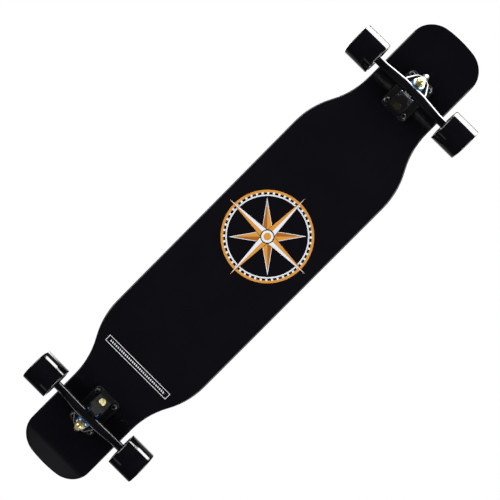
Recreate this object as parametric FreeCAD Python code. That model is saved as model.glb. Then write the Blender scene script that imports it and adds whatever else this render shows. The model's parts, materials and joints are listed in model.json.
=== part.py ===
import FreeCAD, Part
import math
import os

V = FreeCAD.Vector

# Deck: a kicked plank, wide between the trucks and narrow at both ends
deck_length = 1086.0
deck_width = 224.0
end_width = 146.0
deck_thickness = 12.0
end_block_length = 165.0
taper_length = 150.0
end_bulge_radius = 220.0
corner_radius = 50.0
edge_rounding = 3.0
kick_length = 80.0
kick_radius = 160.0
kick_angle = 18.0
grip_thickness = 1.0
grip_margin = 3.5

# Wheels
wheel_diameter = 62.0
wheel_width = 51.0
tread_rounding = 2.0
lip_width = 7.0
core_diameter = 38.0
core_overhang = 1.0
recess_flare = 3.0

# Bearings, two to a wheel
bearing_outer_diameter = 22.0
bearing_bore = 8.0
bearing_width = 7.0
outer_race_wall = 1.8
inner_race_wall = 2.0
ball_diameter = 3.97
ball_count = 7
ball_clearance = 0.05
shield_thickness = 0.4
shield_inset = 0.2
shield_gap = 0.25
spacer_length = 10.0
spacer_wall = 1.4
speed_washer_thickness = 1.0
speed_washer_wall = 1.6

# Axle
axle_clearance = 0.03
axle_nut_flats = 12.7
axle_nut_height = 8.0
axle_end_thread = 1.5

# Truck: the hanger swings about a steering axis that rises towards the end of the board
truck_setback = 143.0
truck_height = 60.0
axle_offset = 4.0
steer_angle = 40.0
rake = 6.0
hanger_width = 184.0
beam_end_radius = 7.5
beam_middle_radius = 9.5
beam_middle_half = 22.0
beam_taper_end = 62.0
ring_reach = 18.0
yoke_thickness = 10.0
yoke_half_width = 24.0
yoke_shoulder = 25.0
yoke_tip = 56.0
yoke_tip_half_width = 12.0
yoke_tip_rounding = 13.0
yoke_root = 6.0
yoke_gusset = 44.0
yoke_rim = 3.5
bushing_recess = 2.5
seat_ring_wall = 2.2
kingpin_play = 2.7

# Pivot
pivot_radius = 5.5
pivot_neck_radius = 8.5
pivot_reach = 19.0
pivot_tip_chamfer = 3.0
pivot_clearance = 0.05
cup_wall = 2.2
cup_floor = 1.7
cup_depth = 6.0
boss_wall = 2.2
boss_end_wall = 2.0
plug_radius = 6.8
plug_seat_depth = 2.0
plug_proud = 1.0
plug_inboard = 29.0
plug_rise = 19.0
plug_wall = 2.0

# Bushing stack
kingpin_diameter = 9.525
kingpin_clearance = 0.1
bushing_diameter = 25.0
bushing_tip_diameter = 24.0
board_bushing_height = 14.0
road_bushing_height = 13.0
bushing_clearance = 0.3
bushing_flare = 0.2
cup_washer_thickness = 2.0
road_washer_diameter = 22.0
kingpin_head_flats = 14.3
kingpin_head_height = 6.4
kingpin_nut_height = 9.0
kingpin_end_thread = 2.5
head_pocket_radius = 9.0

# Baseplate
plate_length = 82.0
plate_width = 56.0
plate_thickness = 6.0
plate_corner = 9.0
wedge_width = 28.0
seat_wall = 9.0
seat_length = 28.0
rib_spacing = 12.0
rib_width = 2.5
rib_height = 1.0
tongue_reach = 12.0
tongue_radius = 6.5
tongue_tip_radius = 1.0
tongue_tip_height = 5.0

# Mounting bolts
bolt_spacing_long = 63.5
bolt_spacing_cross = 41.3
bolt_diameter = 4.8
bolt_hole_diameter = 5.5
bolt_head_diameter = 9.5
bolt_socket_flats = 3.2
bolt_socket_depth = 1.8
bolt_nut_flats = 9.5
bolt_nut_height = 5.0
bolt_end_thread = 2.0
grip_hole_clearance = 0.4

# How far a cutter runs past the face it opens, and how close two lengths count as equal
over_cut = 1.0
tolerance = 0.01

# Places that follow from the sizes
half_length = deck_length / 2
axle_height = wheel_diameter / 2
deck_bottom = axle_height + truck_height
deck_top = deck_bottom + deck_thickness
truck_x = half_length - truck_setback
axle_x = truck_x - axle_offset
axle_radius = bearing_bore / 2 - axle_clearance
race_width = 2 * bearing_width + spacer_length
wheel_y = hanger_width / 2 + speed_washer_thickness + race_width / 2
axle_end_length = race_width + 2 * speed_washer_thickness + axle_nut_height + axle_end_thread
axle_length = hanger_width + 2 * axle_end_length
outer_race_inner_radius = bearing_outer_diameter / 2 - outer_race_wall
inner_race_outer_radius = bearing_bore / 2 + inner_race_wall
pitch_radius = (outer_race_inner_radius + inner_race_outer_radius) / 2
kingpin_radius = kingpin_diameter / 2
bushing_radius = bushing_diameter / 2
web_half = yoke_thickness / 2 - bushing_recess
seat_level = web_half + board_bushing_height + cup_washer_thickness
nut_level = -(web_half + road_bushing_height + cup_washer_thickness)
cup_radius = pivot_radius + cup_wall
boss_radius = cup_radius + boss_wall
cup_mouth = -(pivot_reach - cup_depth)
cup_end = -(pivot_reach + pivot_clearance + cup_floor)
boss_end = cup_end - boss_end_wall
plate_bottom = truck_height - plate_thickness
bolt_length = deck_thickness + plate_thickness + bolt_nut_height + bolt_end_thread


def steer_point(along, up):
    """Point of the steering frame, in the axle's own frame: along the axis, and square to it."""
    angle = math.radians(steer_angle)
    x = -rake * math.sin(angle) + along * math.cos(angle) - up * math.sin(angle)
    z = rake * math.cos(angle) + along * math.sin(angle) + up * math.cos(angle)
    return x, z


def tilt(shape):
    """Take a shape from the steering frame to the axle's own frame."""
    tilted = shape.copy()
    tilted.rotate(V(), V(0, 1, 0), -steer_angle)
    x, z = steer_point(0, 0)
    tilted.translate(V(x, 0, z))
    return tilted


def place(shape, end):
    """Put a truck piece under the nose, or turned about under the tail."""
    placed = shape.copy()
    if end == "tail":
        placed.rotate(V(), V(0, 0, 1), 180)
    placed.translate(V(axle_x if end == "nose" else -axle_x, 0, axle_height))
    return placed


def save(name, *solids):
    shape = solids[0] if len(solids) == 1 else Part.makeCompound(list(solids))
    shape.exportStep(f"parts/{name}.step")


def turned(points):
    """Solid turned about the Y axis from radius and height points."""
    wire = Part.makePolygon([V(r, y, 0) for r, y in points + points[:1]])
    return Part.Face(wire).revolve(V(), V(0, 1, 0), 360)


def rod(radius, start, end, direction=V(0, 0, 1)):
    return Part.makeCylinder(radius, end - start, direction * start, direction)


def tube(outer, inner, start, end, direction=V(0, 0, 1)):
    return rod(outer, start, end, direction).cut(rod(inner, start, end, direction))


def hexagon(flats, start, end):
    corners = [V(0, flats / math.sqrt(3), start)]
    turn = FreeCAD.Rotation(V(0, 0, 1), 60)
    for _ in range(6):
        corners.append(turn.multVec(corners[-1]))
    return Part.Face(Part.makePolygon(corners)).extrude(V(0, 0, end - start))


def prism(points, low, high):
    """Upright solid over an outline in the XY plane."""
    wire = Part.makePolygon([V(x, y, low) for x, y in points + points[:1]])
    return Part.Face(wire).extrude(V(0, 0, high - low))


def plug_rod(start, end):
    """Rod square to the pivot post's back, which slopes at 45 degrees through the plug's seat."""
    inward = V(1, 0, 1).normalize()
    rod_start = V(-plug_inboard, 0, plug_rise) + inward * start
    return Part.makeCylinder(plug_radius, end - start, rod_start, inward)


def mirrored(points):
    return points + [(x, -y) for x, y in reversed(points)]


def arc(start, middle, end):
    return Part.Arc(V(*start), V(*middle), V(*end)).toShape()


def around(centre, radius, degrees):
    angle = math.radians(degrees)
    return centre[0] + radius * math.cos(angle), centre[1] + radius * math.sin(angle)


def deck_outline():
    """Plan outline: parallel middle, double-arc taper, parallel ends with rounded corners."""
    wide, narrow = deck_width / 2, end_width / 2
    taper_end = half_length - end_block_length
    taper_start = taper_end - taper_length
    drop = wide - narrow
    taper_radius = (taper_length ** 2 + drop ** 2) / (4 * drop)
    sweep = math.degrees(math.asin(taper_length / (2 * taper_radius)))
    outer_centre = taper_start, wide - taper_radius
    inner_centre = taper_end, narrow + taper_radius
    bend = around(outer_centre, taper_radius, 90 - sweep)
    bulge_centre = half_length - end_bulge_radius, 0
    corner_y = narrow - corner_radius
    corner_x = bulge_centre[0] + math.sqrt((end_bulge_radius - corner_radius) ** 2 - corner_y ** 2)
    corner_turn = math.degrees(math.atan2(corner_y, corner_x - bulge_centre[0]))
    corner_end = around(bulge_centre, end_bulge_radius, corner_turn)
    corner_middle = around((corner_x, corner_y), corner_radius, (90 + corner_turn) / 2)
    side = [
        Part.makeLine(V(-taper_start, wide), V(taper_start, wide)),
    ]
    quarter = [
        arc((taper_start, wide), around(outer_centre, taper_radius, 90 - sweep / 2), bend),
        arc(bend, around(inner_centre, taper_radius, -90 - sweep / 2), (taper_end, narrow)),
        Part.makeLine(V(taper_end, narrow), V(corner_x, narrow)),
        arc((corner_x, narrow), corner_middle, corner_end),
    ]
    half = side + quarter + [edge.mirror(V(), V(1, 0, 0)) for edge in quarter]
    edges = half + [edge.mirror(V(), V(0, 1, 0)) for edge in half]
    for x in (half_length, -half_length):
        sign = math.copysign(1, x)
        tip = corner_end[0] * sign
        edges.append(arc((tip, corner_end[1]), (x, 0), (tip, -corner_end[1])))
    return Part.Wire(Part.__sortEdges__(edges))


def kicked_sheet(low, high):
    """Sheet between two heights over the deck's underside, bent up at both ends."""
    kick_start = half_length - kick_length
    angle = math.radians(kick_angle)
    centre_z = deck_bottom + kick_radius

    def edge_points(height):
        radius = kick_radius - height
        flat = V(kick_start, 0, deck_bottom + height)
        middle = V(kick_start + radius * math.sin(angle / 2), 0, centre_z - radius * math.cos(angle / 2))
        bent = V(kick_start + radius * math.sin(angle), 0, centre_z - radius * math.cos(angle))
        return flat, middle, bent, bent + V(math.cos(angle), 0, math.sin(angle)) * kick_length

    lower, upper = edge_points(low), edge_points(high)
    half = [Part.makeLine(lower[3], upper[3])]
    for flat, middle, bent, tip in (lower, upper):
        half += [Part.Arc(flat, middle, bent).toShape(), Part.makeLine(bent, tip)]
    edges = half + [edge.mirror(V(), V(1, 0, 0)) for edge in half]
    for flat, *_ in (lower, upper):
        edges.append(Part.makeLine(V(-flat.x, 0, flat.z), flat))
    face = Part.Face(Part.Wire(Part.__sortEdges__(edges)))
    face.translate(V(0, -deck_width, 0))
    return face.extrude(V(0, 2 * deck_width, 0))


def plan_block(wire):
    return Part.Face(wire).extrude(V(0, 0, deck_top + kick_length))


def is_upright(face):
    u_low, u_high, v_low, v_high = face.ParameterRange
    return abs(face.normalAt((u_low + u_high) / 2, (v_low + v_high) / 2).z) < tolerance


def bolt_places():
    for end in (1, -1):
        for along in (1, -1):
            for side in (1, -1):
                yield end * (truck_x + along * bolt_spacing_long / 2), side * bolt_spacing_cross / 2


def bolt_head():
    """Countersunk head, its flat top at height zero."""
    depth = (bolt_head_diameter - bolt_diameter) / 2
    return Part.makeCone(bolt_diameter / 2, bolt_head_diameter / 2, depth, V(0, 0, -depth))


def at(shape, x, y, z):
    moved = shape.copy()
    moved.translate(V(x, y, z))
    return moved


def make_deck():
    outline = deck_outline()
    deck = kicked_sheet(0, deck_thickness).common(plan_block(outline)).Solids[0]
    walls = [face for face in deck.Faces if is_upright(face)]
    rims = [edge for face in walls for edge in face.Edges
            if max(edge.BoundBox.XLength, edge.BoundBox.YLength) > tolerance]
    deck = deck.makeFillet(edge_rounding, rims)
    grip = kicked_sheet(deck_thickness, deck_thickness + grip_thickness)
    grip = grip.common(plan_block(outline.makeOffset2D(-grip_margin))).Solids[0]
    hole = rod(bolt_hole_diameter / 2, deck_bottom - over_cut, deck_top + over_cut)
    clear_radius = bolt_head_diameter / 2 + grip_hole_clearance
    clear = rod(clear_radius, deck_top - over_cut, deck_top + grip_thickness + over_cut)
    for x, y in bolt_places():
        deck = deck.cut(at(hole, x, y, 0)).cut(at(bolt_head(), x, y, deck_top))
        grip = grip.cut(at(clear, x, y, 0))
    save("deck", deck)
    save("grip_tape", grip)


def make_mounting_bolts():
    bolt = bolt_head().fuse(rod(bolt_diameter / 2, -bolt_length, 0)).removeSplitter()
    bolt = bolt.cut(hexagon(bolt_socket_flats, -bolt_socket_depth, over_cut))
    thread = rod(bolt_diameter / 2, -over_cut, bolt_nut_height + over_cut)
    nut = hexagon(bolt_nut_flats, 0, bolt_nut_height).cut(thread)
    nut_z = axle_height + plate_bottom - bolt_nut_height
    for end, sign in (("nose", 1), ("tail", -1)):
        places = [(x, y) for x, y in bolt_places() if x * sign > 0]
        save(f"{end}_mounting_bolts", *[at(bolt, x, y, deck_top) for x, y in places])
        save(f"{end}_mounting_nuts", *[at(nut, x, y, nut_z) for x, y in places])


def make_tongue(plate_end):
    """Narrow tongue past the plate's outboard end, with sides and a round tip that slope to the road."""
    tip_x = plate_end + tongue_reach - tongue_radius
    length = tongue_reach + plate_corner
    shoulder = plate_bottom + tongue_tip_height
    side = [(tongue_tip_radius, plate_bottom), (tongue_radius, shoulder),
            (tongue_radius, plate_bottom + plate_thickness)]
    outline = side + [(-y, z) for y, z in reversed(side)]
    wire = Part.makePolygon([V(tip_x - length, y, z) for y, z in outline + outline[:1]])
    bar = Part.Face(wire).extrude(V(length, 0, 0))
    tip = Part.makeCone(tongue_tip_radius, tongue_radius, tongue_tip_height, V(tip_x, 0, plate_bottom))
    root = Part.makeCylinder(tongue_radius, plate_thickness - tongue_tip_height, V(tip_x, 0, shoulder))
    return bar.fuse([tip, root])


def make_baseplate():
    """Flat plate with a wedge that carries the pivot low inboard and the kingpin seat outboard."""
    inboard = axle_offset - plate_length / 2
    corner = V(inboard, -plate_width / 2, plate_bottom)
    plate = Part.makeBox(plate_length, plate_width, plate_thickness, corner)
    uprights = [edge for edge in plate.Edges if edge.BoundBox.ZLength > tolerance]
    plate = plate.makeFillet(plate_corner, uprights)
    seat_near = ring_reach - seat_length / 2
    seat_far = ring_reach + seat_length / 2
    back_half = (plug_radius + plug_wall) / math.sqrt(2)
    outline = [
        (inboard, plate_bottom + plate_thickness / 2),
        (inboard, plate_bottom),
        (-plug_inboard - back_half, plug_rise + back_half),
        (-plug_inboard + back_half, plug_rise - back_half),
        steer_point(boss_end, boss_radius),
        steer_point(boss_end, 0),
        steer_point(cup_mouth, 0),
        steer_point(cup_mouth, boss_radius),
        steer_point(seat_near, seat_level),
        steer_point(seat_far, seat_level),
    ]
    seat_x, seat_z = outline[-1]
    outline.append((seat_x + plate_bottom - seat_z, plate_bottom))
    outline.append((seat_x + plate_bottom - seat_z, plate_bottom + plate_thickness / 2))
    wire = Part.makePolygon([V(x, -wedge_width / 2, z) for x, z in outline + outline[:1]])
    body = Part.Face(wire).extrude(V(0, wedge_width, 0)).fuse(plate)
    axis = V(1, 0, 0)
    body = body.fuse(tilt(rod(boss_radius, boss_end, cup_mouth, axis)))
    body = body.fuse(make_tongue(inboard + plate_length))
    for side in (1, -1):
        rib_y = side * rib_spacing / 2 - rib_width / 2
        rib_low = -boss_radius - rib_height
        rib_corner = V(boss_end, rib_y, rib_low)
        rib = Part.makeBox(cup_mouth - boss_end, rib_width, boss_wall + rib_height, rib_corner)
        body = body.fuse(tilt(rib))
    body = body.removeSplitter()
    kingpin_base = V(ring_reach, 0, 0)
    head_level = seat_level + seat_wall
    hole = rod(kingpin_radius + kingpin_clearance, seat_level - over_cut, head_level + over_cut)
    pocket = rod(head_pocket_radius, head_level, head_level + plate_length)
    for cutter in (hole, pocket):
        cutter.translate(kingpin_base)
        body = body.cut(tilt(cutter))
    body = body.cut(tilt(rod(cup_radius, cup_end, cup_mouth + over_cut, axis)))
    body = body.cut(plug_rod(-over_cut, plug_seat_depth))
    bolt_hole = rod(bolt_hole_diameter / 2, plate_bottom - over_cut, truck_height + over_cut)
    for along in (1, -1):
        for side in (1, -1):
            x = axle_offset + along * bolt_spacing_long / 2
            body = body.cut(at(bolt_hole, x, side * bolt_spacing_cross / 2, 0))
    return body


def far_uprights(body, reach):
    """Edges of a prism that stand at the far end of its reach."""
    return [edge for edge in body.Edges if edge.BoundBox.XMin > reach - tolerance
            and edge.BoundBox.ZLength > tolerance]


def make_beam():
    """Beam round the axle, swelling outboard to its middle, so that its inboard side stays straight."""
    angle = math.radians(steer_angle)
    outboard = V(math.cos(angle), 0, -math.sin(angle))
    half = [(beam_middle_radius, beam_middle_half), (beam_end_radius, beam_taper_end),
            (beam_end_radius, hanger_width / 2)]
    sections = []
    for radius, y in [(radius, -y) for radius, y in reversed(half)] + half:
        centre = V(0, y, -rake) + outboard * (radius - beam_end_radius)
        sections.append(Part.Wire(Part.makeCircle(radius, centre, V(0, 1, 0))))
    return Part.makeLoft(sections, True, True)


def make_yoke():
    """Rounded arch outboard of the beam: a rim, a floor, and a window round the bushings' seat."""
    arch = [(yoke_root, yoke_gusset), (yoke_shoulder / 2, yoke_half_width),
            (yoke_shoulder, yoke_half_width), (yoke_tip, yoke_tip_half_width)]
    yoke = prism(mirrored(arch), -yoke_thickness / 2, yoke_thickness / 2)
    yoke = yoke.makeFillet(yoke_tip_rounding, far_uprights(yoke, yoke_tip))
    floor_half_width = yoke_half_width - yoke_rim
    floor_tip = yoke_tip - yoke_rim
    floor = [(beam_middle_radius, floor_half_width), (yoke_shoulder - yoke_rim / 2, floor_half_width),
             (floor_tip, yoke_tip_half_width - yoke_rim / 2)]
    hollow = prism(mirrored(floor), -yoke_thickness, yoke_thickness)
    hollow = hollow.makeFillet(yoke_tip_rounding - yoke_rim, far_uprights(hollow, floor_tip))
    seat = rod(bushing_radius + bushing_clearance + seat_ring_wall, -web_half, yoke_thickness)
    seat.translate(V(ring_reach, 0, 0))
    bridge_corner = V(0, -floor_half_width, -web_half)
    bridge = Part.makeBox(ring_reach, 2 * floor_half_width, yoke_thickness + web_half, bridge_corner)
    return yoke.cut(hollow.cut([seat, bridge]))


def make_hanger():
    """Beam with a pivot inboard and the yoke round the bushings outboard."""
    back = V(-1, 0, 0)
    neck_end = -cup_mouth - boss_wall
    neck = Part.makeCone(pivot_neck_radius, pivot_radius, neck_end, V(), back)
    tip_start = pivot_reach - pivot_tip_chamfer
    tip_radius = pivot_radius - pivot_tip_chamfer / 2
    tip = Part.makeCone(pivot_radius, tip_radius, pivot_tip_chamfer, back * tip_start, back)
    post = rod(pivot_radius, 0, tip_start, back)
    body = make_beam().fuse([make_yoke(), neck, post, tip]).removeSplitter()
    bushing_room = bushing_radius + bushing_clearance
    recess = rod(bushing_room, web_half, yoke_thickness)
    recess.translate(V(ring_reach, 0, 0))
    hole = rod(kingpin_radius + kingpin_play, -yoke_thickness, yoke_thickness)
    hole.translate(V(ring_reach, 0, 0))
    stack_end = nut_level - kingpin_nut_height
    swing_room = bushing_room - bushing_flare * (stack_end + web_half)
    below = Part.makeCone(swing_room, bushing_room, -web_half - stack_end, V(ring_reach, 0, stack_end))
    bore_half = hanger_width / 2 + over_cut
    bore = rod(axle_radius, -bore_half, bore_half, V(0, 1, 0))
    bore.translate(V(0, 0, -rake))
    for cutter in (recess, below, hole, bore):
        body = body.cut(cutter)
    return tilt(body)


def make_bushing_stack():
    """Pieces threaded on the kingpin, in their order along it."""
    bore = kingpin_radius + kingpin_clearance
    board_top = web_half + board_bushing_height
    road_end = web_half + road_bushing_height
    head_level = seat_level + seat_wall
    board_bushing = tube(bushing_radius, bore, web_half, board_top)
    cone = Part.makeCone(bushing_tip_diameter / 2, bushing_radius, road_bushing_height, V(0, 0, -road_end))
    road_bushing = cone.cut(rod(bore, -road_end - over_cut, 0))
    upper_washer = tube(bushing_radius, bore, board_top, seat_level)
    lower_washer = tube(road_washer_diameter / 2, bore, nut_level, -road_end)
    nut_end = nut_level - kingpin_nut_height
    nut = hexagon(kingpin_head_flats, nut_end, nut_level)
    nut = nut.cut(rod(kingpin_radius, nut_end - over_cut, nut_level + over_cut))
    shank = rod(kingpin_radius, nut_end - kingpin_end_thread, head_level)
    head = hexagon(kingpin_head_flats, head_level, head_level + kingpin_head_height)
    kingpin = shank.fuse(head).removeSplitter()
    pieces = {
        "kingpin": [kingpin],
        "board_side_bushing": [board_bushing],
        "road_side_bushing": [road_bushing],
        "bushing_washers": [upper_washer, lower_washer],
        "kingpin_nut": [nut],
    }
    return {name: [tilt(at(solid, ring_reach, 0, 0)) for solid in solids]
            for name, solids in pieces.items()}


def make_pivot_pieces():
    axis = V(1, 0, 0)
    cup = rod(cup_radius, cup_end, cup_mouth, axis)
    bore_end = -pivot_reach - pivot_clearance
    cup = cup.cut(rod(pivot_radius + pivot_clearance, bore_end, cup_mouth + over_cut, axis))
    return {"pivot_cup": [tilt(cup)], "pivot_plug": [plug_rod(-plug_proud, plug_seat_depth)]}


def make_axle_pieces():
    y_axis = V(0, 1, 0)
    axle = rod(axle_radius, -axle_length / 2, axle_length / 2, y_axis)
    washer_radius = bearing_bore / 2 + speed_washer_wall
    inner_y = hanger_width / 2
    outer_y = inner_y + speed_washer_thickness + race_width
    washers, nuts = [], []
    for side in (1, -1):
        for start in (inner_y, outer_y):
            near, far = sorted((side * start, side * (start + speed_washer_thickness)))
            washers.append(tube(washer_radius, bearing_bore / 2, near, far, y_axis))
        thread = rod(axle_radius, -over_cut, axle_nut_height + over_cut)
        nut = hexagon(axle_nut_flats, 0, axle_nut_height).cut(thread)
        nut.rotate(V(), V(1, 0, 0), -90 * side)
        nut.translate(V(0, side * (outer_y + speed_washer_thickness), 0))
        nuts.append(nut)
    return {"axle": [axle], "speed_washers": washers, "axle_nuts": nuts}


def make_wheel_pieces():
    """One wheel about its own centre: urethane tyre, hub core and two ball bearings."""
    y_axis = V(0, 1, 0)
    core_half = race_width / 2 + core_overhang
    core_radius = core_diameter / 2
    half = wheel_width / 2
    lip_radius = wheel_diameter / 2 - lip_width
    quarter = [(core_radius, core_half), (lip_radius - recess_flare / 2, half - recess_flare),
               (lip_radius, half), (wheel_diameter / 2, half)]
    tyre = turned([(core_radius, -core_half), *quarter] + [(r, -y) for r, y in reversed(quarter[1:])])
    treads = [edge for edge in tyre.Edges if edge.BoundBox.XLength > wheel_diameter - tolerance
              and edge.BoundBox.YLength < tolerance]
    tyre = tyre.makeFillet(tread_rounding, treads)
    seat_radius = bearing_outer_diameter / 2
    seat_inner = spacer_length / 2
    core = tube(core_radius, outer_race_inner_radius, -core_half, core_half, y_axis)
    groove = Part.makeTorus(pitch_radius, ball_diameter / 2 + ball_clearance, V(), y_axis)
    race_half = bearing_width / 2
    outer_race = tube(seat_radius, outer_race_inner_radius, -race_half, race_half, y_axis).cut(groove)
    inner_race = tube(inner_race_outer_radius, bearing_bore / 2, -race_half, race_half, y_axis).cut(groove)
    outer_races, inner_races, balls, shields = [], [], [], []
    for side in (1, -1):
        centre = side * (seat_inner + race_half)
        near, far = sorted((side * seat_inner, side * (core_half + over_cut)))
        core = core.cut(rod(seat_radius, near, far, y_axis))
        outer_races.append(at(outer_race, 0, centre, 0))
        inner_races.append(at(inner_race, 0, centre, 0))
        for number in range(ball_count):
            x, z = around((0, 0), pitch_radius, 360 * number / ball_count)
            balls.append(Part.makeSphere(ball_diameter / 2, V(x, centre, z)))
        for face in (1, -1):
            outside = race_half - shield_inset
            near, far = sorted((face * (outside - shield_thickness), face * outside))
            shield = tube(outer_race_inner_radius, inner_race_outer_radius + shield_gap, near, far, y_axis)
            shields.append(at(shield, 0, centre, 0))
    spacer = tube(bearing_bore / 2 + spacer_wall, bearing_bore / 2, -seat_inner, seat_inner, y_axis)
    return {"wheel_tyre": [tyre], "wheel_core": [core], "bearing_outer_races": outer_races,
            "bearing_inner_races": inner_races, "bearing_balls": balls, "bearing_shields": shields,
            "bearing_spacer": [spacer]}


os.makedirs("parts", exist_ok=True)
make_deck()
make_mounting_bolts()
truck = {"baseplate": [make_baseplate()], "hanger": [make_hanger()]}
truck.update(make_bushing_stack())
truck.update(make_pivot_pieces())
truck.update(make_axle_pieces())
wheel = make_wheel_pieces()
for end in ("nose", "tail"):
    for name, solids in truck.items():
        save(f"{end}_{name}", *[place(solid, end) for solid in solids])
    for side, sign in (("left", 1), ("right", -1)):
        x = axle_x if end == "nose" else -axle_x
        for name, solids in wheel.items():
            save(f"{end}_{side}_{name}", *[at(solid, x, sign * wheel_y, axle_height) for solid in solids])
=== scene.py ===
import bpy
import json
import math
from functools import reduce
from mathutils import Matrix, Vector

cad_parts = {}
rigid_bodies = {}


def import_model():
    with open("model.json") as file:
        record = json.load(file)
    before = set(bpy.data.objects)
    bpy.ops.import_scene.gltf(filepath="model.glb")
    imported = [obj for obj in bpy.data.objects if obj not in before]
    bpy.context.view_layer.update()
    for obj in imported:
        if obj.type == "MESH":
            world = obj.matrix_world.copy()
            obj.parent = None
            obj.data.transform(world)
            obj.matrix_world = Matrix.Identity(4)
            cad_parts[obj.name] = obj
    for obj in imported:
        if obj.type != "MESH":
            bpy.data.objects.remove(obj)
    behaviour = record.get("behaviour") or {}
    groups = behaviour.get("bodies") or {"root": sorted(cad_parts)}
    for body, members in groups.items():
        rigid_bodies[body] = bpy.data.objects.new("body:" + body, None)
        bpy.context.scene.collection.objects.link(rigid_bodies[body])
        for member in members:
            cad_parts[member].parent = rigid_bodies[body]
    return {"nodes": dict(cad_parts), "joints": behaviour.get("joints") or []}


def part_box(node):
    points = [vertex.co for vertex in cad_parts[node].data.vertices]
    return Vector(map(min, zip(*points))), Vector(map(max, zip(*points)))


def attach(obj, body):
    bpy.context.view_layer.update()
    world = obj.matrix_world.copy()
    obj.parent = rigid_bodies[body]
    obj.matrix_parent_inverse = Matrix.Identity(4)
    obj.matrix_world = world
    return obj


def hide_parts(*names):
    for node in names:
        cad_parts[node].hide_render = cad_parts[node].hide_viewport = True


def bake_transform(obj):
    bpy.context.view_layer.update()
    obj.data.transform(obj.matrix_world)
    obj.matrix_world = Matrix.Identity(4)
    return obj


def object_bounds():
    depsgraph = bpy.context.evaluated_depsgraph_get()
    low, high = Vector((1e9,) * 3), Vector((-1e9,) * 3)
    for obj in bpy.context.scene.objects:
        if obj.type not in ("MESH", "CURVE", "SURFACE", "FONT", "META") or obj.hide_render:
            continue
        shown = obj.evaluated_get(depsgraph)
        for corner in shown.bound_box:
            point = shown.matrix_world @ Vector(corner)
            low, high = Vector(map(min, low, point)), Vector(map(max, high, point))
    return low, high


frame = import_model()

cadLow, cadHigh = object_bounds()
ends = {"nose": 1, "tail": -1}
sides = {"left": 1, "right": -1}
print("frame loaded,", len(frame["nodes"]), "nodes")


# Shader maths: a socket with operators, and one method for every other node
class Wire:
    def __init__(self, tree, socket=None):
        self.tree = tree
        self.socket = socket

    def add(self, kind, settings=None, sockets=None, out=0):
        node = self.tree.nodes.new(kind)
        for name, value in (settings or {}).items():
            setattr(node, name, value)
        for name, value in (sockets or {}).items():
            self.feed(node.inputs[name], value)
        return Wire(self.tree, node.outputs[out])

    def feed(self, socket, value):
        if isinstance(value, Wire):
            self.tree.links.new(value.socket, socket)
        else:
            socket.default_value = (*value, 1) if socket.type == "RGBA" else value

    def maths(self, operation, *values):
        return self.add("ShaderNodeMath", {"operation": operation}, dict(enumerate(values)))

    def __add__(self, other):
        return self.maths("ADD", self, other)

    def __sub__(self, other):
        return self.maths("SUBTRACT", self, other)

    def __mul__(self, other):
        return self.maths("MULTIPLY", self, other)

    def __truediv__(self, other):
        return self.maths("DIVIDE", self, other)

    def __rsub__(self, other):
        return self.maths("SUBTRACT", other, self)

    def __abs__(self):
        return self.maths("ABSOLUTE", self)

    def __lt__(self, other):
        return self.maths("LESS_THAN", self, other)

    def __gt__(self, other):
        return self.maths("GREATER_THAN", self, other)

    __radd__ = __add__
    __rmul__ = __mul__

    def atMost(self, other):
        return self.maths("MINIMUM", self, other)

    def atLeast(self, other):
        return self.maths("MAXIMUM", self, other)

    def between(self, low, high):
        return (self > low) * (self < high)

    def root(self):
        return self.maths("SQRT", self)

    def fraction(self):
        return self.maths("FRACT", self)

    def angleFrom(self, other):
        return self.maths("ARCTAN2", self, other)

    def parts(self):
        return [self.add("ShaderNodeSeparateXYZ", {}, {0: self}, out) for out in range(3)]

    def ramp(self, low, high):
        sockets = {"Value": self, "From Min": low, "From Max": high}
        return self.add("ShaderNodeMapRange", {"clamp": True}, sockets)

    def noise(self, scale, detail, stretch=(1, 1, 1)):
        place = self.add("ShaderNodeMapping", {}, {"Vector": self, "Scale": stretch})
        return self.add("ShaderNodeTexNoise", {}, {"Vector": place, "Scale": scale, "Detail": detail})

    def blend(self, first, second):
        # sockets 6 and 7 are a Mix node's two colours, and output 2 is its mixed one
        return self.add("ShaderNodeMix", {"data_type": "RGBA"}, {0: self, 6: first, 7: second}, 2)

    def bump(self, height, strength):
        return self.add("ShaderNodeBump", {}, {"Height": self, "Distance": height, "Strength": strength})


class Finish:
    def __init__(self, name):
        self.material = bpy.data.materials.new(name)
        self.material.use_nodes = True
        tree = self.material.node_tree
        self.shader = tree.nodes["Principled BSDF"]
        self.base = Wire(tree)
        self.place = self.base.add("ShaderNodeTexCoord", out="Object")
        self.facing = self.base.add("ShaderNodeTexCoord", out="Normal")

    def give(self, **sockets):
        for name, value in sockets.items():
            self.base.feed(self.shader.inputs[name.replace("_", " ")], value)
        return self.material


def shade(colour, share):
    return tuple(share * channel for channel in colour)


# Deck finish: black lacquer below with a printed star and bar, bare maple plies round the edge.
# Here and in the other finishes a noise is its scale and detail, and its stretch if it has one
lacquer = {"colour": (0.0038, 0.0035, 0.0054), "roughness": 0.17, "scuff": 0.06, "scuffRange": (0.45, 0.8),
           "wear": (900, 4), "wearShare": 0.5, "bump": 0.00001, "bumpStrength": 0.5,
           "dust": (14, 5), "dustRange": (0.35, 0.8), "dustShade": 1.25}
emblem = {
    "centre": (0.046, 0.0), "facing": -0.5,
    "ring": 0.082, "ringLine": 0.0023, "innerRing": 0.0745, "innerLine": 0.0012,
    "tickInner": 0.0762, "tickOuter": 0.0802, "ticks": 48, "tickShare": 0.38,
    "long": {"reach": 0.096, "waist": 0.018}, "short": {"reach": 0.064, "waist": 0.022},
    "outline": 0.0016, "outlineTip": 4, "hub": 0.0130, "hubLine": 0.0020, "hubHole": 0.0068,
    "white": (0.80, 0.81, 0.84), "orange": (0.67, 0.30, 0.055), "deepOrange": (0.37, 0.13, 0.018),
    "ink": (0.006, 0.006, 0.007),
}
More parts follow.
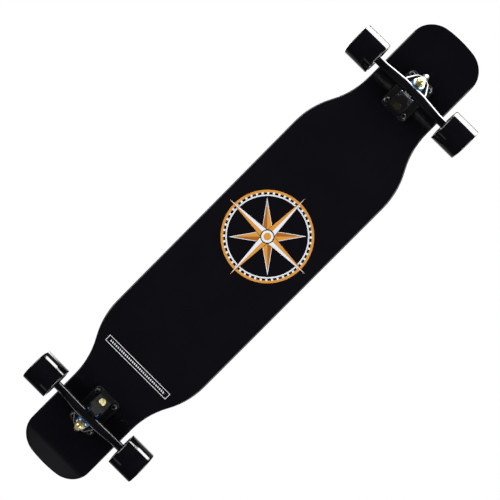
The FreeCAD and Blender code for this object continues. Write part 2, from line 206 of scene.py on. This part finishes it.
edgeBar = {"centre": -0.288, "halfLength": 0.0768, "halfWidth": 0.0066, "line": 0.0010,
           "markPitch": 0.0046, "markShare": 0.50, "markHalf": 0.0017, "markEnd": 0.069, "markLean": 60}
plies = {"count": 8, "pale": (0.56, 0.36, 0.17), "warm": (0.40, 0.22, 0.09), "glue": (0.12, 0.055, 0.02),
         "glueShare": 0.10, "facing": 0.2, "roughness": 0.3, "grain": (160, 6, (1, 6, 30)),
         "grainRange": (0.35, 0.75)}
kick = {"length": 0.080, "radius": 0.160, "angle": math.radians(18)}


def starMasks(x, y, shape, turns, grow=0.0):
    # the whole of a pointed star, grown by an outline, and the lit half of each of its points
    wholes, halves = [], []
    for turn in turns:
        along = x * math.cos(turn) + y * math.sin(turn)
        across = y * math.cos(turn) - x * math.sin(turn)
        reach = shape["reach"] + emblem["outlineTip"] * grow
        width = (1 - abs(along) / reach) * (shape["waist"] + grow)
        inside = abs(across) < width * 0.5  # half of the width on each side
        wholes.append(inside)
        halves.append((across * along > 0) * inside)
    return reduce(Wire.atLeast, wholes), reduce(Wire.atLeast, halves)


def emblemLayers(x, y):
    x, y = x - emblem["centre"][0], y - emblem["centre"][1]
    reach = (x * x + y * y).root()
    tick = (y.angleFrom(x) * (emblem["ticks"] / (2 * math.pi))).fraction()
    straight, slanted = (0, math.pi / 2), (math.pi / 4, 3 * math.pi / 4)
    longEdge, _ = starMasks(x, y, emblem["long"], straight, emblem["outline"])
    longWhole, longHalf = starMasks(x, y, emblem["long"], straight)
    shortEdge, _ = starMasks(x, y, emblem["short"], slanted, emblem["outline"])
    shortWhole, shortHalf = starMasks(x, y, emblem["short"], slanted)
    return [
        (abs(reach - emblem["ring"]) < emblem["ringLine"], "orange"),
        (abs(reach - emblem["innerRing"]) < emblem["innerLine"], "white"),
        (reach.between(emblem["tickInner"], emblem["tickOuter"]) * (tick < emblem["tickShare"]), "white"),
        (shortEdge, "white"), (shortWhole, "deepOrange"), (shortHalf, "orange"),
        (longEdge, "ink"), (longWhole, "orange"), (longHalf, "white"),
        (reach < emblem["hub"], "ink"), (reach < emblem["hub"] - emblem["hubLine"], "white"),
        (reach < emblem["hubHole"], "orange"),
    ]


def barLayers(x, y):
    x, line = x - edgeBar["centre"], edgeBar["line"]
    outer = (abs(x) < edgeBar["halfWidth"]) * (abs(y) < edgeBar["halfLength"])
    inner = (abs(x) < edgeBar["halfWidth"] - line) * (abs(y) < edgeBar["halfLength"] - line)
    turn = (y / edgeBar["markPitch"] + x * edgeBar["markLean"]).fraction()
    marks = (abs(x) < edgeBar["markHalf"]) * (abs(y) < edgeBar["markEnd"]) * (turn < edgeBar["markShare"])
    return [(outer * (1 - inner), "white"), (marks, "white")]


def plyColour(finish, x, z):
    # the plies follow the plank up each kick: an arc, then a straight slope
    inset = abs(x) - (cadHigh.x - kick["length"])
    arcEnd = kick["radius"] * math.sin(kick["angle"])
    run = inset.atLeast(0).atMost(arcEnd)
    rise = kick["radius"] - (kick["radius"] ** 2 - run * run).root()
    rise = rise + (inset - arcEnd).atLeast(0) * math.tan(kick["angle"])
    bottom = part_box("deck")[0].z
    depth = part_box("grip_tape")[0].z - bottom
    layer = (z - bottom - rise) * (plies["count"] / depth)
    grain = finish.place.noise(*plies["grain"])
    wood = ((layer * 0.5).fraction() > 0.5).blend(plies["pale"], plies["warm"])  # every second ply is warm
    wood = grain.ramp(*plies["grainRange"]).blend(wood, plies["warm"])
    return (layer.fraction() < plies["glueShare"]).blend(wood, plies["glue"]), grain


def deckFinish():
    finish = Finish("deckLacquer")
    x, y, z = finish.place.parts()
    upward = finish.facing.parts()[2]
    worn, dust = finish.place.noise(*lacquer["wear"]), finish.place.noise(*lacquer["dust"])
    dusty = shade(lacquer["colour"], lacquer["dustShade"])
    colour = dust.ramp(*lacquer["dustRange"]).blend(lacquer["colour"], dusty)
    for mask, name in emblemLayers(x, y) + barLayers(x, y):
        colour = (mask * (upward < emblem["facing"])).blend(colour, emblem[name])
    wood, grain = plyColour(finish, x, z)
    edge = abs(upward) < plies["facing"]
    scuffed = worn.ramp(*lacquer["scuffRange"])
    roughness = lacquer["roughness"] + scuffed * lacquer["scuff"] + edge * plies["roughness"]
    normal = (worn * lacquer["wearShare"] + grain * edge).bump(lacquer["bump"], lacquer["bumpStrength"])
    return finish.give(Base_Color=edge.blend(colour, wood), Roughness=roughness, Normal=normal)


# Grip finish: sharp dark grit with a few grains painted paler as glints (painted highlight), worn paler in
# patches
grit = {"scale": 1400.0, "dark": (0.012, 0.012, 0.013), "walked": (0.024, 0.024, 0.025),
        "glint": (0.16, 0.16, 0.17), "glintShare": 0.07, "glintPolish": 0.5, "roughness": 0.92,
        "depth": 0.0004, "bumpStrength": 0.9, "patch": (9, 5), "patchRange": (0.3, 0.75)}


def gripFinish():
    finish = Finish("gripGrit")
    sockets = {"Vector": finish.place, "Scale": grit["scale"]}
    grains = finish.base.add("ShaderNodeTexVoronoi", {}, sockets)
    tone = finish.base.add("ShaderNodeTexVoronoi", {}, sockets, "Color")
    # a few grains painted paler and made smoother: a painted glint
    glint = tone.parts()[0] > 1 - grit["glintShare"]
    walked = finish.place.noise(*grit["patch"]).ramp(*grit["patchRange"])
    colour = glint.blend(walked.blend(grit["dark"], grit["walked"]), grit["glint"])
    roughness = grit["roughness"] - glint * grit["glintPolish"]
    normal = (1 - grains).bump(grit["depth"], grit["bumpStrength"])
    return finish.give(Base_Color=colour, Roughness=roughness, Normal=normal)


# Black finishes: gloss paint, urethane and moulded plastic, told apart by gloss, grain and coat
blacks = {
    "truck_paint": {"colour": (0.0032, 0.0031, 0.0046), "roughness": 0.16, "scuff": 0.08, "grain": 1500,
                    "depth": 0.00001, "shine": 0.5, "coat": 1.0},
    "cast_black": {"colour": (0.0040, 0.0040, 0.0046), "roughness": 0.50, "scuff": 0.12, "grain": 1100,
                   "depth": 0.00006, "shine": 0.3, "coat": 0.0,
                   # the tongue tip's paler bare metal is partly rubbed wear, partly a painted highlight
                   "tip": {"start": 0.4415, "full": 0.4440, "patch": (500, 4), "patchRange": (0.25, 0.40),
                           "colour": (0.60, 0.60, 0.62), "roughness": 0.28}},
    "black_urethane": {"colour": (0.0026, 0.0025, 0.0040), "roughness": 0.06, "scuff": 0.04, "grain": 300,
                       "depth": 0.000003, "shine": 0.5, "coat": 1.0},
    "core_plastic": {"colour": (0.02, 0.02, 0.022), "roughness": 0.38, "scuff": 0.10, "grain": 1800,
                     "depth": 0.00006, "shine": 0.5, "coat": 0.0},
    "shield_plastic": {"colour": (0.012, 0.012, 0.014), "roughness": 0.35, "scuff": 0.10, "grain": 1800,
                       "depth": 0.00005, "shine": 0.5, "coat": 0.0},
}
blackCloud = {"noise": (40, 5), "toneRange": (0.3, 0.8), "paler": 1.5, "scuffRange": (0.4, 0.8),
              "grainDetail": 4, "bumpStrength": 0.6}


def wearAndHighlightTip(finish, tip, colour, roughness):
    # the baseplate's tongue tip is painted as paler bare metal: partly rubbed wear, partly a painted
    # highlight
    worn = abs(finish.place.parts()[0]).ramp(tip["start"], tip["full"])
    worn = worn * finish.place.noise(*tip["patch"]).ramp(*tip["patchRange"])
    finish.give(Metallic=worn)
    return worn.blend(colour, tip["colour"]), roughness + worn * (tip["roughness"] - roughness)


def blackFinish(slot, look):
    finish = Finish(slot)
    fine = finish.place.noise(look["grain"], blackCloud["grainDetail"])
    broad = finish.place.noise(*blackCloud["noise"])
    paler = shade(look["colour"], blackCloud["paler"])
    colour = broad.ramp(*blackCloud["toneRange"]).blend(look["colour"], paler)
    roughness = look["roughness"] + broad.ramp(*blackCloud["scuffRange"]) * look["scuff"]
    # paint the tongue tip as paler bare metal: wear and a painted highlight together
    if "tip" in look:
        colour, roughness = wearAndHighlightTip(finish, look["tip"], colour, roughness)
    normal = fine.bump(look["depth"], blackCloud["bumpStrength"])
    finish.give(Specular_IOR_Level=look["shine"], Coat_Weight=look["coat"])
    finish.give(Coat_Roughness=look["roughness"])
    return finish.give(Base_Color=colour, Roughness=roughness, Normal=normal)


# Metals: fine lines along the grain of each piece, and a faint stain
metals = {
    "bright_steel": {"colour": (0.62, 0.62, 0.64), "roughness": 0.16, "stretch": (1, 8, 1)},
    "nut_steel": {"colour": (0.42, 0.42, 0.44), "roughness": 0.28, "stretch": (1, 1, 1)},
    "black_steel": {"colour": (0.035, 0.035, 0.038), "roughness": 0.34, "stretch": (1, 1, 1)},
    "gold_plate": {"colour": (0.84, 0.74, 0.37), "roughness": 0.33, "stretch": (1, 1, 1)},
}
brushing = {"lines": (900, 3), "lineRoughness": 0.16, "depth": 0.00002, "bumpStrength": 0.5,
            "stain": (120, 4), "stainRange": (0.3, 0.8), "stainShade": 0.82}


def metalFinish(slot, look):
    finish = Finish(slot)
    lines = finish.place.noise(*brushing["lines"], look["stretch"])
    stained = shade(look["colour"], brushing["stainShade"])
    clean = finish.place.noise(*brushing["stain"]).ramp(*brushing["stainRange"])
    normal = lines.bump(brushing["depth"], brushing["bumpStrength"])
    finish.give(Metallic=1.0, Roughness=look["roughness"] + lines * brushing["lineRoughness"])
    return finish.give(Base_Color=clean.blend(stained, look["colour"]), Normal=normal)


# Soft urethane: the bushings and the pivot cups, faintly clouded
urethanes = {
    "blue_urethane": {"colour": (0.03, 0.20, 0.56), "deep": (0.015, 0.125, 0.40), "roughness": 0.22},
    "cup_urethane": {"colour": (0.02, 0.02, 0.021), "deep": (0.012, 0.012, 0.013), "roughness": 0.40},
}
clouding = {"noise": (260, 3), "range": (0.3, 0.7), "roughness": 0.12, "depth": 0.00005, "bumpStrength": 0.4,
            "glow": 0.25, "glowDepth": 0.002}


def urethaneFinish(slot, look):
    finish = Finish(slot)
    cloud = finish.place.noise(*clouding["noise"])
    colour = cloud.ramp(*clouding["range"]).blend(look["deep"], look["colour"])
    roughness = look["roughness"] + cloud * clouding["roughness"]
    normal = cloud.bump(clouding["depth"], clouding["bumpStrength"])
    finish.give(Subsurface_Weight=clouding["glow"], Subsurface_Scale=clouding["glowDepth"])
    return finish.give(Base_Color=colour, Roughness=roughness, Normal=normal)


finishes = {"deck_lacquer": deckFinish(), "grip_grit": gripFinish()}
for make, looks in ((blackFinish, blacks), (metalFinish, metals), (urethaneFinish, urethanes)):
    finishes.update({slot: make(slot, look) for slot, look in looks.items()})
print("finishes made:", len(finishes))


# Modelling helpers: each starts with nothing selected and ends in object mode
def choose(piece):
    bpy.ops.object.select_all(action="DESELECT")
    piece.select_set(True)
    bpy.context.view_layer.objects.active = piece


def addModifier(piece, kind, **settings):
    choose(piece)
    modifier = piece.modifiers.new(kind.lower(), kind)
    for name, value in settings.items():
        setattr(modifier, name, value)
    bpy.ops.object.modifier_apply(modifier=modifier.name)


def mergePoints(piece, within=1e-6, turnOutward=True):
    choose(piece)
    bpy.ops.object.mode_set(mode="EDIT")
    bpy.ops.mesh.select_all(action="SELECT")
    bpy.ops.mesh.remove_doubles(threshold=within)
    if turnOutward:
        bpy.ops.mesh.normals_make_consistent(inside=False)
    bpy.ops.object.mode_set(mode="OBJECT")


def turnedPiece(name, profile, segments):
    # a circle drawn out along its axis, step by step, scaled to each radius and closed on itself
    bpy.ops.object.select_all(action="DESELECT")
    radius, height = profile[0]
    bpy.ops.mesh.primitive_circle_add(vertices=segments, radius=radius)
    piece = bpy.context.object
    piece.name = name
    bpy.ops.object.mode_set(mode="EDIT")
    bpy.ops.mesh.select_all(action="SELECT")
    bpy.ops.transform.translate(value=(0, 0, height))
    for nextRadius, nextHeight in profile[1:] + profile[:1]:
        bpy.ops.mesh.extrude_region_move(TRANSFORM_OT_translate={"value": (0, 0, nextHeight - height)})
        scale = nextRadius / radius
        bpy.ops.transform.resize(value=(scale, scale, 1), center_override=(0, 0, nextHeight))
        radius, height = nextRadius, nextHeight
    bpy.ops.object.mode_set(mode="OBJECT")
    mergePoints(piece)
    return piece


def soften(piece, width, steps=2, angle=math.radians(28)):
    addModifier(piece, "BEVEL", width=width, segments=steps, limit_method="ANGLE", angle_limit=angle)


def smooth(piece, angle=math.radians(32)):
    choose(piece)
    bpy.ops.object.shade_smooth_by_angle(angle=angle)


def joinPieces(pieces):
    choose(pieces[0])
    for piece in pieces:
        piece.select_set(True)
    bpy.ops.object.join()
    return bpy.context.object


def setDown(piece, matrix):
    piece.data.transform(matrix)
    piece.matrix_world = Matrix.Identity(4)
    return piece


def copyOf(piece, name):
    twin = bpy.data.objects.new(name, piece.data.copy())
    bpy.context.scene.collection.objects.link(twin)
    return twin


def paint(piece, slot, finish=None):
    piece.data.materials.clear()
    piece.data.materials.append(finishes[finish or slot])


def dress(piece, node, slot, body, finish=None):
    paint(piece, slot, finish)
    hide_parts(node)
    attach(piece, body)


def extent(node, matrix):
    turn = matrix.inverted()
    points = [turn @ vertex.co for vertex in frame["nodes"][node].data.vertices]
    low = Vector([min(point[i] for point in points) for i in range(3)])
    high = Vector([max(point[i] for point in points) for i in range(3)])
    return low, high


def steerFrame(end):
    # X along the steering axis, Z along the kingpin, from the hinge that carries the hanger
    joint = next(joint for joint in frame["joints"] if joint["name"] == f"{end}_steer")
    along = Vector(joint["axis"]).normalized()
    across = Vector((0, ends[end], 0))
    turn = Matrix((along, across, along.cross(across))).transposed().to_4x4()
    return Matrix.Translation(joint["pos_m"]) @ turn


def facingFrame(direction):
    return Vector(direction).to_track_quat("Z", "Y").to_matrix().to_4x4()


# Deck: merged copy of the plank with flat faces kept flat
plank = {"smooth": math.radians(40), "flatness": 80}


def makeDeck():
    deck = copyOf(frame["nodes"]["deck"], "deckPlank")
    mergePoints(deck, turnOutward=False)
    smooth(deck, plank["smooth"])
    addModifier(deck, "WEIGHTED_NORMAL", mode="FACE_AREA", weight=plank["flatness"], keep_sharp=True)
    dress(deck, "deck", "deck_lacquer", "board")


# Castings: hangers and baseplates with every corner rounded over as a mould leaves it
casting = {"voxel": 0.0007, "rounds": 8, "strength": 0.5, "smooth": math.radians(60)}


def makeCasting(node, body, finish):
    piece = copyOf(frame["nodes"][node], f"{node}_casting")
    mergePoints(piece, turnOutward=False)
    addModifier(piece, "REMESH", mode="VOXEL", voxel_size=casting["voxel"], adaptivity=0.0)
    addModifier(piece, "SMOOTH", factor=casting["strength"], iterations=casting["rounds"])
    smooth(piece, casting["smooth"])
    dress(piece, node, "truck_paint", body, finish)


# Bushings: a barrel above the hanger and a cone below it, squeezed to a slight bulge
bushing = {"bore": 0.0049, "bulge": 0.0007, "rings": 8, "coneTip": 0.012, "segments": 64,
           "rounding": 0.0012, "roundSteps": 3, "roundAngle": math.radians(50)}


def makeBushing(end, seat):
    node = f"{end}_{seat}_side_bushing"
    steer = steerFrame(end)
    low, high = extent(node, steer)
    centre = (low + high) / 2
    widest = (high.y - low.y) / 2
    narrowest = bushing["coneTip"] if seat == "road" else widest
    profile = []
    for step in range(bushing["rings"] + 1):
        share = step / bushing["rings"]
        hollow = bushing["bulge"] * (2 * share - 1) ** 2
        radius = narrowest + (widest - narrowest) * share - hollow
        profile.append((radius, low.z + (high.z - low.z) * share))
    profile += [(bushing["bore"], high.z), (bushing["bore"], low.z)]
    piece = turnedPiece(f"{node}_squeezed", profile, bushing["segments"])
    soften(piece, bushing["rounding"], bushing["roundSteps"], bushing["roundAngle"])
    smooth(piece)
    setDown(piece, steer @ Matrix.Translation((centre.x, centre.y, 0)))
    paint(piece, "blue_urethane")
    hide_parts(node)
    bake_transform(piece)


# Nuts: six flats under a turned crown, with a round collar at the far end
nuts = {"chamfer": 0.07, "collar": 0.24, "collarStep": 0.0002, "collarFoot": 0.94, "collarTop": 0.84,
        "rounding": 0.00025, "kingpinBore": 0.00477, "mountingFlats": 0.0095, "mountingBore": 0.0024,
        "axleDepth": 0.008, "axleBore": 0.00397, "segments": 48}


def makeNut(name, flats, height, bore):
    corner, face = flats / math.sqrt(3), flats / 2
    shoulder = height * (1 - nuts["collar"])
    bpy.ops.object.select_all(action="DESELECT")
    bpy.ops.mesh.primitive_cylinder_add(vertices=6, radius=corner, depth=height, location=(0, 0, height / 2))
    nut = bpy.context.object
    nut.name = name
    bpy.ops.object.transform_apply(location=True)
    profile = [(bore, 0), (face, 0), (corner, nuts["chamfer"] * flats),
               (corner, shoulder - nuts["collarStep"]), (face * nuts["collarFoot"], shoulder),
               (face * nuts["collarTop"], height), (bore, height)]
    crown = turnedPiece("crown", profile, nuts["segments"])
    addModifier(nut, "BOOLEAN", object=crown, operation="INTERSECT", solver="EXACT")
    bpy.data.objects.remove(crown)
    soften(nut, nuts["rounding"])
    smooth(nut)
    return nut


def makeKingpinNut(end):
    node = f"{end}_kingpin_nut"
    steer = steerFrame(end)
    low, high = extent(node, steer)
    centre = (low + high) / 2
    flats = min(high.x - low.x, high.y - low.y)
    piece = makeNut(f"{node}_crowned", flats, high.z - low.z, nuts["kingpinBore"])
    flip = Matrix.Rotation(math.pi, 4, "X")
    setDown(piece, steer @ Matrix.Translation((centre.x, centre.y, high.z)) @ flip)
    dress(piece, node, "gold_plate", "board")


def makeMountingNuts(end):
    node = f"{end}_mounting_nuts"
    low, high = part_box(node)
    face, corner = nuts["mountingFlats"] / 2, nuts["mountingFlats"] / math.sqrt(3)
    model = makeNut("lockNut", nuts["mountingFlats"], high.z - low.z, nuts["mountingBore"])
    flip = Matrix.Rotation(math.pi, 4, "X") @ Matrix.Rotation(math.pi / 6, 4, "Z")
    pieces = []
    for x in (low.x + face, high.x - face):
        for y in (low.y + corner, high.y - corner):
            piece = copyOf(model, f"{node}_crowned")
            pieces.append(setDown(piece, Matrix.Translation((x, y, high.z)) @ flip))
    bpy.data.objects.remove(model)
    dress(joinPieces(pieces), node, "nut_steel", "board")


def makeAxleNuts(end):
    node = f"{end}_axle_nuts"
    low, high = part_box(node)
    centre = (low + high) / 2
    flats = min(high.x - low.x, high.z - low.z)
    pieces = []
    for sign in sides.values():
        piece = makeNut(f"{node}_crowned", flats, nuts["axleDepth"], nuts["axleBore"])
        foot = Matrix.Translation((centre.x, sign * (high.y - nuts["axleDepth"]), centre.z))
        pieces.append(setDown(piece, foot @ facingFrame((0, sign, 0))))
    dress(joinPieces(pieces), node, "nut_steel", f"{end}_hanger_body")


# Cup washers: a flat dish with a rolled rim, turned toward the bushing that it holds
washer = {"bore": 0.0049, "thick": 0.002, "lip": 0.0006, "rim": 0.0012, "dish": 0.002, "rounding": 0.0002,
          "board": 0.0125, "road": 0.0110, "segments": 64}


def makeWashers(end):
    node = f"{end}_bushing_washers"
    steer = steerFrame(end)
    low, high = extent(node, steer)
    centre = (low + high) / 2
    bore, thick, lip = washer["bore"], washer["thick"], washer["lip"]
    rings = []
    for seat, base, turn in (("board", high.z, math.pi), ("road", low.z, 0.0)):
        outer = washer[seat]
        profile = [(bore, 0), (outer - lip, 0), (outer, lip), (outer, thick), (outer - washer["rim"], thick),
                   (outer - washer["dish"], thick - lip), (bore, thick - lip)]
        ring = turnedPiece(f"{node}_dished", profile, washer["segments"])
        soften(ring, washer["rounding"])
        flip = Matrix.Rotation(turn, 4, "X")
        rings.append(setDown(ring, steer @ Matrix.Translation((centre.x, centre.y, base)) @ flip))
    piece = joinPieces(rings)
    smooth(piece)
    dress(piece, node, "bright_steel", "board")


# Pivot plug: a plated button with a dimple, let into the back of the pivot post
plug = {"slope": math.radians(45), "rim": 0.0008, "dimple": 0.0005, "dimpleEdge": 0.62, "dimpleFloor": 0.5,
        "pole": 0.00001, "rounding": 0.0003, "segments": 64}


def makePlug(end):
    node = f"{end}_pivot_plug"
    turn = facingFrame((-ends[end] * math.sin(plug["slope"]), 0, -math.cos(plug["slope"])))
    low, high = extent(node, turn)
    centre = (low + high) / 2
    radius, depth = (high.x - low.x) / 2, high.z - low.z
    floor = depth - plug["dimple"]
    profile = [(plug["pole"], 0), (radius, 0), (radius, depth - plug["rim"]),
               (radius - plug["rim"], depth), (radius * plug["dimpleEdge"], depth),
               (radius * plug["dimpleFloor"], floor), (plug["pole"], floor)]
    piece = turnedPiece(f"{node}_dimpled", profile, plug["segments"])
    mergePoints(piece, within=2 * plug["pole"])
    soften(piece, plug["rounding"])
    smooth(piece)
    setDown(piece, turn @ Matrix.Translation((centre.x, centre.y, low.z)))
    dress(piece, node, "gold_plate", "board")


# Wheels: one tyre and one spoked core, copied to the four corners
tyre = {"coreRadius": 0.019, "coreHalf": 0.013, "edge": 0.0020, "edgeSteps": 5, "segments": 128,
        "smooth": math.radians(35),
        "face": [(0.0090, 0.0042), (0.0073, 0.0014), (0.0062, 0.0002), (0.0056, 0.0), (0.0040, 0.0),
                 (0.0037, 0.0005), (0.0032, 0.0005), (0.0029, 0.0)]}  # in from the tread, down from the face
core = {"bore": 0.0092, "seat": 0.011, "seatFloor": 0.005, "radius": 0.019, "half": 0.013, "wall": 0.0016,
        "pocket": 0.0042, "draft": 0.0003, "spokes": 8, "spokeWidth": 0.0018, "spokeDrop": 0.0008,
        "spokeBite": 0.0006, "rounding": 0.0003, "segments": 96}


def mirrorProfile(half):
    return half + [(radius, -height) for radius, height in reversed(half)]


def tyreModel():
    low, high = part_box("nose_left_wheel_tyre")
    radius, half, edge = (high.z - low.z) / 2, (high.y - low.y) / 2, tyre["edge"]
    profile = [(tyre["coreRadius"], tyre["coreHalf"])]
    profile += [(radius - inward, half - drop) for inward, drop in tyre["face"]]
    for step in range(tyre["edgeSteps"] + 1):
        turn = math.pi / 2 * (1 - step / tyre["edgeSteps"])
        profile.append((radius - edge + edge * math.cos(turn), half - edge + edge * math.sin(turn)))
    model = turnedPiece("tyreModel", mirrorProfile(profile), tyre["segments"])
    smooth(model, tyre["smooth"])
    return model


def coreModel():
    half, draft, floor = core["half"], core["draft"], core["half"] - core["pocket"]
    inner, outer = core["seat"] + core["wall"], core["radius"] - core["wall"]
    profile = [(core["bore"], core["seatFloor"]), (core["seat"], core["seatFloor"]), (core["seat"], half),
               (inner, half), (inner + draft, floor), (outer - draft, floor), (outer, half),
               (core["radius"], half)]
    pieces = [turnedPiece("coreModel", mirrorProfile(profile), core["segments"])]
    soften(pieces[0], core["rounding"])
    spokeHeight = half - core["pocket"] / 2 - core["spokeDrop"]
    spokeLength = outer - inner + 2 * core["spokeBite"]
    for number in range(core["spokes"]):
        for face in (1, -1):
            bpy.ops.object.select_all(action="DESELECT")
            bpy.ops.mesh.primitive_cube_add(size=1, location=((inner + outer) / 2, 0, face * spokeHeight))
            spoke = bpy.context.object
            spoke.scale = (spokeLength, core["spokeWidth"], core["pocket"])
            bpy.ops.object.transform_apply(location=True, scale=True)
            soften(spoke, core["rounding"])
            pieces.append(setDown(spoke, Matrix.Rotation(2 * math.pi * number / core["spokes"], 4, "Z")))
    model = joinPieces(pieces)
    smooth(model)
    return model


def makeWheels():
    models = {"tyre": (tyreModel(), "black_urethane"), "core": (coreModel(), "core_plastic")}
    for end in ends:
        for side, sign in sides.items():
            low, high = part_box(f"{end}_{side}_wheel_tyre")
            place = Matrix.Translation((low + high) / 2) @ facingFrame((0, sign, 0))
            for kind, (model, slot) in models.items():
                node = f"{end}_{side}_wheel_{kind}"
                dress(setDown(copyOf(model, f"{node}_turned"), place), node, slot, f"{end}_{side}_wheel")
    for model, _ in models.values():
        bpy.data.objects.remove(model)


makeDeck()
print("deck made")
makeWheels()
print("wheels made")
for end in ends:
    makeCasting(f"{end}_hanger", f"{end}_hanger_body", "truck_paint")
    makeCasting(f"{end}_baseplate", "board", "cast_black")
    makeBushing(end, "board")
    makeBushing(end, "road")
    makeKingpinNut(end)
    makeMountingNuts(end)
    makeAxleNuts(end)
    makeWashers(end)
    makePlug(end)
    print(end, "truck made")

# Every other node keeps its own solid, in one of the finishes above
keptFinishes = {
    "grip_tape": "grip_grit", "mounting_bolts": "black_steel", "kingpin": "gold_plate",
    "pivot_cup": "cup_urethane", "axle": "bright_steel", "speed_washers": "bright_steel",
    "bearing_inner_races": "bright_steel", "bearing_outer_races": "bright_steel",
    "bearing_balls": "bright_steel", "bearing_spacer": "nut_steel", "bearing_shields": "shield_plastic",
}
for name, node in frame["nodes"].items():
    kind = next((kind for kind in keptFinishes if name.endswith(kind)), None)
    if kind and not node.hide_render:
        node.data.materials.clear()
        node.data.materials.append(finishes[keptFinishes[kind]])
print("kept solids painted")

# Stage: a pale floor seen from above only, which fades into the white room round it
stage = {"floorReach": 30.0, "floorColour": (0.86, 0.86, 0.86), "fadeStart": 0.75, "fadeEnd": 2.4,
         "roomGlow": 0.22, "underGlow": 0.012, "underEdge": 0.35, "roomEdge": 0.95, "overhead": 0.92}


def makeFloor():
    bpy.ops.object.select_all(action="DESELECT")
    bpy.ops.mesh.primitive_plane_add(size=2 * stage["floorReach"], location=(0, 0, cadLow.z))
    floor = bpy.context.object
    floor.name = "floor"
    bpy.ops.object.transform_apply(location=True)
    material = bpy.data.materials.new("paleFloor")
    material.use_nodes = True
    tree = material.node_tree
    base = Wire(tree)
    seen = base.add("ShaderNodeLightPath", out="Is Camera Ray")
    above = 1 - base.add("ShaderNodeNewGeometry", out="Backfacing")
    along, across, _ = base.add("ShaderNodeTexCoord", out="Object").parts()
    near = 1 - (along * along + across * across).root().ramp(stage["fadeStart"], stage["fadeEnd"])
    clear = base.add("ShaderNodeBsdfTransparent")
    pale = base.add("ShaderNodeBsdfDiffuse", {}, {"Color": stage["floorColour"]})
    mix = base.add("ShaderNodeMixShader", {}, {0: seen * above * near, 1: clear, 2: pale})
    base.feed(tree.nodes["Material Output"].inputs["Surface"], mix)
    floor.data.materials.append(material)


def makeWorld():
    world = bpy.data.worlds.new("whiteRoom")
    bpy.context.scene.world = world
    world.use_nodes = True
    tree = world.node_tree
    base = Wire(tree)
    upward = base.add("ShaderNodeTexCoord", out="Generated").parts()[2]
    rays = ("Is Camera Ray", "Is Glossy Ray", "Is Transmission Ray")
    camera, glossy, through = (base.add("ShaderNodeLightPath", out=ray) for ray in rays)
    climb = upward.ramp(stage["underEdge"], stage["roomEdge"])
    room = climb * (stage["roomGlow"] - stage["underGlow"]) + stage["underGlow"]
    white = camera.atLeast(glossy.atLeast(through) * (upward > stage["overhead"]))
    glow = white + room * (1 - white)
    background = tree.nodes["Background"].inputs
    base.feed(background["Color"], (1, 1, 1))
    base.feed(background["Strength"], glow)


# Lamps: glow is the brightness of the panel's face, so its size changes only how far it reaches.
# A lamp is kept off the pieces whose names end in one of its flagged words
lamps = {
    "topKey": {"place": (0.5, -1.1, 1.9), "aim": (0, 0, 0.1), "size": (1.7, 1.3), "glow": 4.2},
    "topFill": {"place": (-0.6, 1.5, 1.5), "aim": (0, 0, 0.1), "size": (1.7, 1.3), "glow": 2.2},
    "leftUnder": {"place": (0.3, 1.65, -0.95), "aim": (0.3, 0, 0.09), "size": (2.7, 0.9), "glow": 6.5,
                  "flagged": ("nose_pivot_plug_dimpled",)},
    "rightUnder": {"place": (0.3, -1.65, -0.95), "aim": (0.3, 0, 0.09), "size": (2.7, 0.9), "glow": 6.5,
                   "flagged": ("nose_pivot_plug_dimpled",)},
    "noseBox": {"place": (0.95, 0.0, 0.17), "aim": (0, 0, 0.17), "size": (0.75, 0.49), "glow": 11.0,
                "flagged": ("floor", "deckPlank")},
    "tailPanel": {"place": (-2.2, 0.0, 0.45), "aim": (0, 0, 0.45), "size": (0.5, 0.40), "glow": 1.5,
                  "flagged": ("wheel_tyre_turned",)},
    "tailUnder": {"place": (-2.05, 0.0, -0.80), "aim": (-0.5, 0, 0.11), "size": (0.30, 0.42), "glow": 0.25},
}


def flagOff(light, endings):
    flag = bpy.data.collections.new(light.name + "Flag")
    for piece in bpy.data.objects:
        if piece.name.endswith(endings):
            flag.objects.link(piece)
    for member in flag.collection_objects:
        member.light_linking.link_state = "EXCLUDE"
    light.light_linking.receiver_collection = flag


def makeLamps():
    for name, lamp in lamps.items():
        data = bpy.data.lights.new(name, "AREA")
        data.shape = "RECTANGLE"
        data.size, data.size_y = lamp["size"]
        data.energy = lamp["glow"] * math.pi * data.size * data.size_y
        light = bpy.data.objects.new(name, data)
        bpy.context.scene.collection.objects.link(light)
        direction = Vector(lamp["aim"]) - Vector(lamp["place"])
        turn = direction.to_track_quat("-Z", "Y").to_matrix().to_4x4()
        light.matrix_world = Matrix.Translation(lamp["place"]) @ turn
        if "flagged" in lamp:
            flagOff(light, lamp["flagged"])


# Camera: under the board, looking up, with the nose to the upper right
view = {"place": (0.0599, 0.0093, -1.4115), "aim": (0.0068, -0.0051, 0.091), "turn": math.radians(45.19),
        "lens": 60.0, "sensor": 36.0}


def makeCamera():
    data = bpy.data.cameras.new("underCamera")
    data.lens, data.sensor_width = view["lens"], view["sensor"]
    camera = bpy.data.objects.new("underCamera", data)
    bpy.context.scene.collection.objects.link(camera)
    back = (Vector(view["place"]) - Vector(view["aim"])).normalized()
    upward = Vector((math.sin(view["turn"]), -math.cos(view["turn"]), 0))
    right = upward.cross(back).normalized()
    turn = Matrix((right, back.cross(right), back)).transposed().to_4x4()
    camera.matrix_world = Matrix.Translation(view["place"]) @ turn
    bpy.context.scene.camera = camera


makeFloor()
makeWorld()
makeLamps()
makeCamera()
bpy.context.scene.view_settings.view_transform = "Standard"
print("stage, lamps and camera set")
